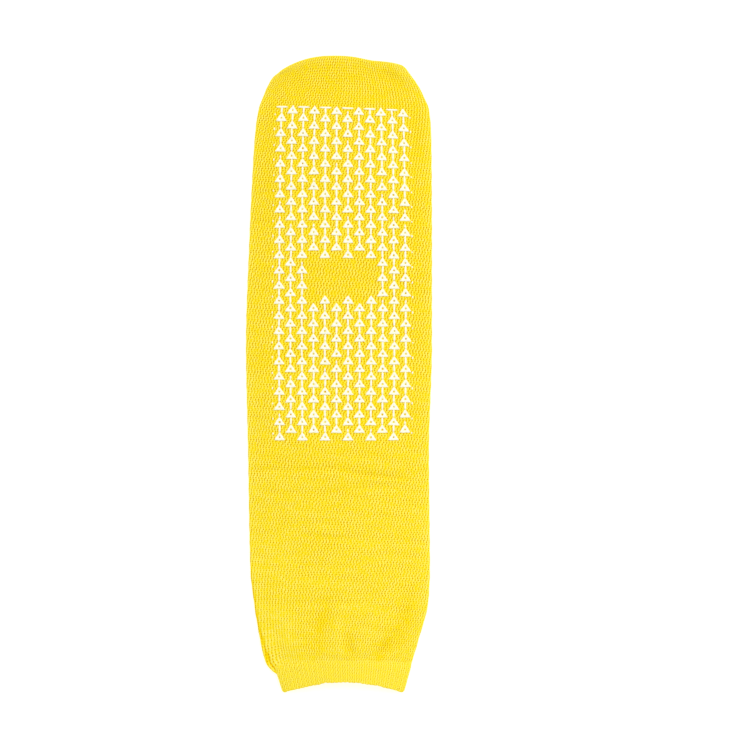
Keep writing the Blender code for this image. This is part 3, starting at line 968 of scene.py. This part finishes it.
def stroke(x0, y0, x1, y1, width, height):
    """A low rounded line of print from one place to another."""
    length = math.hypot(x1 - x0, y1 - y0)
    share = np.linspace(0, 1, max(2, round(length / STROKE_STEP)) + 1)
    side_x, side_y = (y0 - y1) / length, (x1 - x0) / length
    taper = np.minimum(1.0, STROKE_TIP + 4 * np.minimum(share, 1 - share))
    rise = [(-0.5, SUNK), (-0.42, height * 0.6), (-0.15, height)]
    section = rise + [(-place, lift) for place, lift in rise[::-1]]
    points = []
    for place, lift in section:
        x = x0 + (x1 - x0) * share + side_x * place * width * taper
        y = y0 + (y1 - y0) * share + side_y * place * width * taper
        points.append(laid(x, y, lift))
    points = np.stack(points, 1)
    index = np.arange(points.shape[0] * points.shape[1]).reshape(points.shape[:2])
    faces = np.stack([index[:-1, :-1], index[1:, :-1], index[1:, 1:], index[:-1, 1:]], 2)
    ends = [index[0].tolist(), index[-1][::-1].tolist()]
    return points.reshape(-1, 3), faces.reshape(-1, 4).tolist() + ends


print(f"print from y = {GRIP_TOP * 1000:.0f} mm, bare window {CLEAR_DEPTH * 1000:.0f} mm deep")

# %% The whole print
STEM_BREAK = 0.07  # one hairline in fourteen fails half way
STEM_SLIP = 0.0001
LOW = 0.8  # hairlines and dots are lower than the triangles
OVERLAP = 0.0002  # how far a stem or bar runs on past its triangle's base
TIP_OVERLAP = 0.0004  # and past its tip


def printed_run(x, bases, barred, faults):
    """Triangles linked into a run, from its toe end, with a bar at its head if barred."""
    parts = []
    head = None
    if barred:
        y = bases[0] + GRIP_ROW_PITCH - GRIP_BAR / 2
        half = GRIP_BASE / 2 + OVERLAP
        parts.append(stroke(x - half, y, x + half, y, GRIP_BAR, GRIP_THICKNESS))
        head = y
    for y in bases:
        parts.append(motif(x, y, faults))
        apex = y + GRIP_HEIGHT - TIP_OVERLAP
        if head is not None:
            ends = head if faults.uniform() > STEM_BREAK else (apex + head) / 2
            slip = STEM_SLIP * faults.normal()
            parts.append(stroke(x, apex, x + slip, ends, GRIP_STEM, GRIP_THICKNESS * LOW))
        head = y + OVERLAP
    return parts


faults = np.random.default_rng(12)
printed = []
for column in range(GRIP_COLUMNS):
    x = GRIP_OFFSET + (column - (GRIP_COLUMNS - 1) / 2) * GRIP_COLUMN_PITCH
    barred = column % 2 == 0
    first = GRIP_TOP - GRIP_ROW_PITCH * (1.0 if barred else 0.5)
    bases = [first - row * GRIP_ROW_PITCH for row in range(GRIP_ROWS)]
    if not CLEAR_FIRST <= column < GRIP_COLUMNS - CLEAR_FIRST:
        printed += printed_run(x, bases, barred, faults)
        continue
    printed += printed_run(x, [y for y in bases if y >= CLEAR_FROM], barred, faults)
    printed += printed_run(x, [y for y in bases if y + GRIP_HEIGHT <= CLEAR_TO], False, faults)

# %% Edge dots
EDGE_DOT = 0.0012
DOT_AT = 0.62  # where a dot stands between two rows
DOT_SLIP = 0.0002
DOT_WIDTH = 0.8  # as a share of its length
PRINT_GRAIN = 1000  # the paste's mottle changes over about a millimetre
dot_x = (GRIP_COLUMNS * GRIP_COLUMN_PITCH + EDGE_DOT) / 2
for row in range(GRIP_ROWS):
    for side in (-1, 1):
        y = GRIP_TOP - GRIP_ROW_PITCH * (row + DOT_AT) + DOT_SLIP * faults.normal()
        x = GRIP_OFFSET + side * dot_x
        end = y + EDGE_DOT * faults.uniform(0.7, 1.4)
        width = EDGE_DOT * DOT_WIDTH
        printed.append(stroke(x, y, x + 0.0001, end, width, GRIP_THICKNESS * LOW))

points, faces = join(printed)
grip_print = faces_mesh("grip_print", points, faces, points[:, :2] * PRINT_GRAIN)
print("printed shapes:", len(printed))

# %% [markdown]
# ## Yarn
# The stitches need colour as well as height. Their wale and course numbers sit in one UV map
# and their leans in another, so a small recipe of maths nodes can find where a point lies in
# its stitch: painted shade makes the yarn deep orange yellow in the holes and grooves between
# the loops, and painted light makes it clear yellow on them. An image texture would hold one
# fixed size of stitch, while numbers stay sharp at any distance. Slow noise then makes some
# patches plainer than others, as the loops lie over at random, and fine noise makes the fibre.
# A third map paints shade into the folds and creases and paints light along the edges.


# %% Small helpers for node recipes
def add_node(tree, kind, inputs=None, **settings):
    """A node with its settings and its inputs, each a socket to link or a fixed value."""
    node = tree.nodes.new(kind)
    for name, value in settings.items():
        setattr(node, name, value)
    for name, value in (inputs or {}).items():
        if isinstance(value, bpy.types.NodeSocket):
            tree.links.new(value, node.inputs[name])
        else:
            node.inputs[name].default_value = value
    return node


def maths(tree, operation, *values):
    """The result of one Math node."""
    inputs = dict(enumerate(values))
    return add_node(tree, "ShaderNodeMath", inputs, operation=operation).outputs[0]


def ramp(tree, factor, stops):
    """Colours along a ramp: stops are pairs of a place and a colour."""
    node = add_node(tree, "ShaderNodeValToRGB", {"Fac": factor})
    elements = node.color_ramp.elements
    while len(elements) < len(stops):
        elements.new(1.0)
    for element, (place, colour) in zip(elements, stops):
        element.position = place
        element.color = (*colour, 1.0)
    return node.outputs["Color"]


def noise(tree, vector, scale, detail=2.0):
    """Soft noise around 0.5."""
    inputs = {"Vector": vector, "Scale": scale, "Detail": detail}
    return add_node(tree, "ShaderNodeTexNoise", inputs).outputs["Fac"]


# %% Where a point lies in its stitch
YARN_GROOVE, YARN_LOOP = -0.55, 0.45  # how far each takes the height down or up
PULL_POWER, PULL_PART = 2.5, 0.55  # holes open where the stitches lean
UPRIGHT_HOLE = 0.6  # how far they still open where no stitch leans
HOLE_POWER, HOLE_LOOP = 3.5, -0.7  # how narrow they are, and how far a loop covers them


def stitch_recipe(tree):
    """Sockets for the stitch numbers, the height in the stitch, the mask of its hole for painted
    shade, and a chance.
    """
    knit = add_node(tree, "ShaderNodeUVMap", uv_map="knit").outputs["UV"]
    split = add_node(tree, "ShaderNodeSeparateXYZ", {"Vector": knit})
    wale, course = split.outputs["X"], split.outputs["Y"]
    lying = add_node(tree, "ShaderNodeUVMap", uv_map="lean").outputs["UV"]
    lying = add_node(tree, "ShaderNodeSeparateXYZ", {"Vector": lying})
    swing = maths(tree, "SINE", maths(tree, "MULTIPLY", lying.outputs["X"], 2 * math.pi))
    lean = maths(tree, "TANH", maths(tree, "MULTIPLY", swing, LEAN_SHARPNESS))
    lean = maths(tree, "MULTIPLY", lean, maths(tree, "MULTIPLY", lying.outputs["Y"], LEAN))
    wale = maths(tree, "ADD", wale, lean)
    part = maths(tree, "FRACT", wale)
    across = maths(tree, "ABSOLUTE", maths(tree, "MULTIPLY_ADD", part, 2.0, -1.0))
    legs = maths(tree, "MULTIPLY_ADD", across, 0.5, course)
    turns = maths(tree, "MULTIPLY", legs, 2 * math.pi)
    loop = maths(tree, "MULTIPLY_ADD", maths(tree, "COSINE", turns), 0.5, 0.5)
    raised = maths(tree, "MULTIPLY_ADD", loop, YARN_LOOP, 1.0 - YARN_LOOP)
    groove = maths(tree, "POWER", across, 2.0)
    height = maths(tree, "MULTIPLY_ADD", groove, YARN_GROOVE, raised)
    pulled = maths(tree, "POWER", maths(tree, "ABSOLUTE", swing), PULL_POWER)
    pulled = maths(tree, "MULTIPLY_ADD", pulled, PULL_PART, 1.0 - PULL_PART)
    can_lean = lying.outputs["Y"]
    open_by = maths(tree, "MULTIPLY_ADD", can_lean, 1.0 - UPRIGHT_HOLE, UPRIGHT_HOLE)
    pulled = maths(tree, "MULTIPLY", pulled, open_by)
    narrow = maths(tree, "POWER", across, HOLE_POWER)
    hole = maths(tree, "MULTIPLY", narrow, maths(tree, "MULTIPLY_ADD", loop, HOLE_LOOP, 1.0))
    hole = maths(tree, "MULTIPLY", hole, pulled)
    column = maths(tree, "FLOOR", maths(tree, "ADD", wale, 0.5))
    row = maths(tree, "FLOOR", maths(tree, "MULTIPLY", lying.outputs["X"], 2.0))
    cell = add_node(tree, "ShaderNodeCombineXYZ", {"X": column, "Y": row}).outputs[0]
    chance = add_node(tree, "ShaderNodeTexWhiteNoise", {"Vector": cell}).outputs["Value"]
    return knit, wale, course, height, hole, chance


# %% Knitted yarn
FOOT_COURSES = 260.0  # the foot is a little deeper in colour up to here
# how strongly the shade map's painted shade and painted light show
FOLD_SHADE = 0.12
STREAK_FALL = -0.14  # plainer patches fall to the right, in courses a wale
STREAK_WALES, STREAK_COURSES, STREAK_SCALE = 0.35, 1.5, 0.19
FIBRE_SCALE = 2.6
# Painted shade in the holes, deeper at random from stitch to stitch. The toe has fewer patches and
# more of this shade.
HOLE_LEAST, HOLE_SPREAD = 0.35, 1.9  # how dark holes are: no two are alike
CALM_TOE, DEEP_TOE = -0.7, 0.5  # the toe has fewer patches and darker holes
# Painted shade in the grooves and painted light on the loops, by their height. Then random tone by
# stitch and by fibre.
RELIEF_SHADE_TONE, STITCH_TONE, FIBRE_TONE = 0.30, 0.25, 0.90
FUZZ = 0.5  # height of the fibre against that of the loops
YARN_BUMP, YARN_BUMP_STRENGTH = 0.0002, 0.8
YARN_ROUGH, LOOP_ROUGH = 0.78, 0.12
YARN_SHINE = 0.03
SHEEN, SHEEN_ROUGH, SHEEN_TINT = 0.03, 0.5, (1.0, 0.88, 0.15, 1.0)


def yarn_material(name, stops, contrast, lift, foot_shade=0.0):
    """A knitted finish with painted shade and light: its colours from hole to loop, its contrast,
    and how light it is.
    """
    material = bpy.data.materials.new(name)
    material.use_nodes = True
    tree = material.node_tree
    shader = tree.nodes["Principled BSDF"]
    knit, wale, course, height, hole, chance = stitch_recipe(tree)
    falling = maths(tree, "MULTIPLY_ADD", wale, STREAK_FALL, course)
    streaks = {
        "X": maths(tree, "MULTIPLY", wale, STREAK_WALES),
        "Y": maths(tree, "MULTIPLY", falling, STREAK_COURSES),
    }
    streaks = add_node(tree, "ShaderNodeCombineXYZ", streaks).outputs[0]
    patches = noise(tree, streaks, STREAK_SCALE)
    # The shade map: painted shade in the folds and creases, painted light along the edges.
    fold_shade_and_light = add_node(tree, "ShaderNodeUVMap", uv_map="shade").outputs["UV"]
    fold_shade_and_light = add_node(tree, "ShaderNodeSeparateXYZ", {"Vector": fold_shade_and_light}).outputs["X"]
    fibre = noise(tree, knit, FIBRE_SCALE, detail=3.0)
    toe_end = maths(tree, "SUBTRACT", 1.0, maths(tree, "DIVIDE", course, FOOT_COURSES))
    toe_end = maths(tree, "MAXIMUM", toe_end, 0.0)
    patchy = maths(tree, "MULTIPLY", maths(tree, "SUBTRACT", patches, 0.5), 2.0)
    patchy = maths(tree, "MULTIPLY", patchy, maths(tree, "MULTIPLY_ADD", toe_end, CALM_TOE, 1.0))
    # How much painted shade each hole gets.
    depth = maths(tree, "MULTIPLY_ADD", chance, HOLE_SPREAD, HOLE_LEAST)
    depth = maths(tree, "MULTIPLY", depth, maths(tree, "ADD", patchy, 1.0))
    depth = maths(tree, "MULTIPLY", depth, -contrast)
    depth = maths(tree, "MULTIPLY", depth, maths(tree, "MULTIPLY_ADD", toe_end, DEEP_TOE, 1.0))
    # Painted shade low in the stitch and painted light high on it, then the painted shade of the
    # holes.
    base = 0.5 + lift - RELIEF_SHADE_TONE * contrast / 2
    tone = maths(tree, "MULTIPLY_ADD", height, RELIEF_SHADE_TONE * contrast, base)
    tone = maths(tree, "MULTIPLY_ADD", hole, depth, tone)
    for part, strength in ((chance, STITCH_TONE), (fibre, FIBRE_TONE)):
        around_zero = maths(tree, "SUBTRACT", part, 0.5)
        tone = maths(tree, "MULTIPLY_ADD", around_zero, strength * contrast, tone)
    tone = maths(tree, "MULTIPLY_ADD", toe_end, -foot_shade, tone)
    # the shade map's painted shade and painted light
    tone = maths(tree, "MULTIPLY_ADD", fold_shade_and_light, -FOLD_SHADE, tone)
    tree.links.new(ramp(tree, tone, stops), shader.inputs["Base Color"])
    pile = maths(tree, "MULTIPLY_ADD", fibre, FUZZ, height)
    bumps = {"Height": pile, "Strength": YARN_BUMP_STRENGTH, "Distance": YARN_BUMP}
    bump = add_node(tree, "ShaderNodeBump", bumps)
    tree.links.new(bump.outputs["Normal"], shader.inputs["Normal"])
    rough = maths(tree, "MULTIPLY_ADD", height, LOOP_ROUGH, YARN_ROUGH)
    tree.links.new(rough, shader.inputs["Roughness"])
    shader.inputs["Specular IOR Level"].default_value = YARN_SHINE
    shader.inputs["Sheen Weight"].default_value = SHEEN
    shader.inputs["Sheen Roughness"].default_value = SHEEN_ROUGH
    shader.inputs["Sheen Tint"].default_value = SHEEN_TINT
    return material


# %% The yarn's colours
# The ramp runs from painted shade (HOLE_SHADE in the holes, SHADE in the grooves and folds) through
# the yarn's own YELLOW to PALE. The yarn reaches PALE as painted light on the loops and edges and as
# random paler yarn.
HOLE_SHADE = (0.72, 0.34, 0.000)
SHADE = (0.95, 0.68, 0.000)
YELLOW = (0.99, 0.775, 0.005)
PALE = (1.00, 0.890, 0.175)
YARN = [(0.0, HOLE_SHADE), (0.36, SHADE), (0.58, YELLOW), (1.0, PALE)]
leg_yarn = yarn_material("yellow knitted yarn", YARN, contrast=1.10, lift=0.20, foot_shade=0.06)
welt_yarn = yarn_material("yellow ribbed yarn", YARN, contrast=0.65, lift=0.245)
for piece in (knit_foot, knit_leg, knit_plain):
    piece.data.materials.append(leg_yarn)
cuff_welt.data.materials.append(welt_yarn)
toe_seam.data.materials.append(welt_yarn)
print("yarn materials:", leg_yarn.name, "and", welt_yarn.name)

# %% [markdown]
# ## Terry and print
# The terry inside is the same yellow, softer and without wales, so it takes a plain mottled
# colour and a coarse bump. The print is a cream plastic: smoother, a little glossy, with fine
# pitting where the paste shrank into the knit.

# %% Finishes of the lining and the print
CREAM = (0.95, 0.93, 0.66)
PALE_CREAM = (1.00, 0.99, 0.90)
MOTTLE_ROUGH = 0.15


def mottled_material(name, first, second, scale, roughness, bumps):
    """A material with a two-tone mottle and a bump, for a surface without stitches."""
    material = bpy.data.materials.new(name)
    material.use_nodes = True
    tree = material.node_tree
    shader = tree.nodes["Principled BSDF"]
    knit = add_node(tree, "ShaderNodeUVMap", uv_map="knit").outputs["UV"]
    mottle = noise(tree, knit, scale, detail=3.0)
    colour = ramp(tree, mottle, [(0.35, first), (0.65, second)])
    tree.links.new(colour, shader.inputs["Base Color"])
    bump = add_node(tree, "ShaderNodeBump", {"Height": mottle, "Distance": bumps})
    tree.links.new(bump.outputs["Normal"], shader.inputs["Normal"])
    rough = maths(tree, "MULTIPLY_ADD", mottle, MOTTLE_ROUGH, roughness)
    tree.links.new(rough, shader.inputs["Roughness"])
    return material


terry = mottled_material("yellow terry", SHADE, YELLOW, scale=1.3, roughness=0.85, bumps=0.0004)
paste = mottled_material(
    "cream print paste", CREAM, PALE_CREAM, scale=0.9, roughness=0.40, bumps=0.0001
)
lining.data.materials.append(terry)
grip_print.data.materials.append(paste)
print("materials of the lining and the print:", terry.name, "and", paste.name)

# %% [markdown]
# ## What stands for what
# Each dressed piece replaces the plain solids it covers, and rides on the sock's one body.

# %% Pieces and the solids they replace
print_nodes = [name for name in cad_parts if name.startswith("grip_column")]
dressed = [
    (knit_foot, ["knit_tube"], "knit"),
    (knit_leg, ["knit_tube"], "knit"),
    (knit_plain, ["knit_tube"], "knit"),
    (lining, ["knit_tube"], "knit"),
    (cuff_welt, ["cuff_welt"], "welt"),
    (toe_seam, ["toe_seam"], "thread"),
    (grip_print, print_nodes, "print"),
]
for piece, nodes, finish in dressed:
    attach(piece, "root")
    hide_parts(*nodes)
print("dressed pieces:", len(dressed), "for", 3 + len(print_nodes), "solids")

# %% [markdown]
# ## Floor, light and camera
# The photograph is a plain product shot: a white ground, soft light from all round and a
# little more from the toe's end and the right. A white world gives the soft part, and one wide
# sun gives the direction. The camera looks straight down with a long lens.


# %% Floor
def place(name, data, location=(0.0, 0.0, 0.0)):
    """A new object in the scene."""
    thing = bpy.data.objects.new(name, data)
    thing.location = location
    bpy.context.scene.collection.objects.link(thing)
    return thing


FLOOR = 40.0  # half its width
FLOOR_DROP = 0.0003  # just under the sock
FLOOR_GREY = (0.80, 0.80, 0.80, 1.0)
WHITE = (1.0, 1.0, 1.0, 1.0)
FLOOR_GLOW = 0.45
floor_mesh = bpy.data.meshes.new("floor")
floor_corners = [(-FLOOR, -FLOOR, 0), (FLOOR, -FLOOR, 0), (FLOOR, FLOOR, 0), (-FLOOR, FLOOR, 0)]
floor_mesh.from_pydata(floor_corners, [], [(0, 1, 2, 3)])
floor = place("floor", floor_mesh, (0.0, 0.0, -FLOOR_DROP))
floor_paint = bpy.data.materials.new("pale floor")
floor_paint.use_nodes = True
floor_shader = floor_paint.node_tree.nodes["Principled BSDF"]
floor_shader.inputs["Base Color"].default_value = FLOOR_GREY
floor_shader.inputs["Emission Color"].default_value = WHITE
floor_shader.inputs["Emission Strength"].default_value = FLOOR_GLOW
floor_shader.inputs["Roughness"].default_value = 0.9
floor_shader.inputs["Specular IOR Level"].default_value = 0.1
floor_mesh.materials.append(floor_paint)
floor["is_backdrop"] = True
print(f"floor {FLOOR_DROP * 1000:.1f} mm under the sock")

# %% Light
WORLD_LIGHT = 0.845
SUN_LIGHT = 0.80
SUN_WIDTH = 35  # degrees
SUN_TURN = (-30, 16, 0)  # degrees
scene = bpy.context.scene
scene.view_settings.view_transform = "Standard"
world = bpy.data.worlds.new("studio")
scene.world = world
world.use_nodes = True
world.node_tree.nodes["Background"].inputs["Color"].default_value = WHITE
world.node_tree.nodes["Background"].inputs["Strength"].default_value = WORLD_LIGHT
key_data = bpy.data.lights.new("key", "SUN")
key_data.energy = SUN_LIGHT
key_data.angle = math.radians(SUN_WIDTH)
key = place("key", key_data)
key.rotation_euler = [math.radians(turn) for turn in SUN_TURN]
key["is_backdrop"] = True
print("key light turned by", SUN_TURN, "degrees")

# %% Camera
CAMERA_AT = (0.0201, -0.0008, 1.165)  # the sock lies left of the photograph's middle
camera_data = bpy.data.cameras.new("camera")
camera_data.lens = 100  # millimetres
camera = place("camera", camera_data, CAMERA_AT)
scene.camera = camera
print("camera at", CAMERA_AT)

# %% Sizes of the frame and of the dressed sock
sizes = {"cad": cad_box, "dressed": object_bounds()}
sizes = {name: [[float(v) for v in corner] for corner in box] for name, box in sizes.items()}
print(sizes)
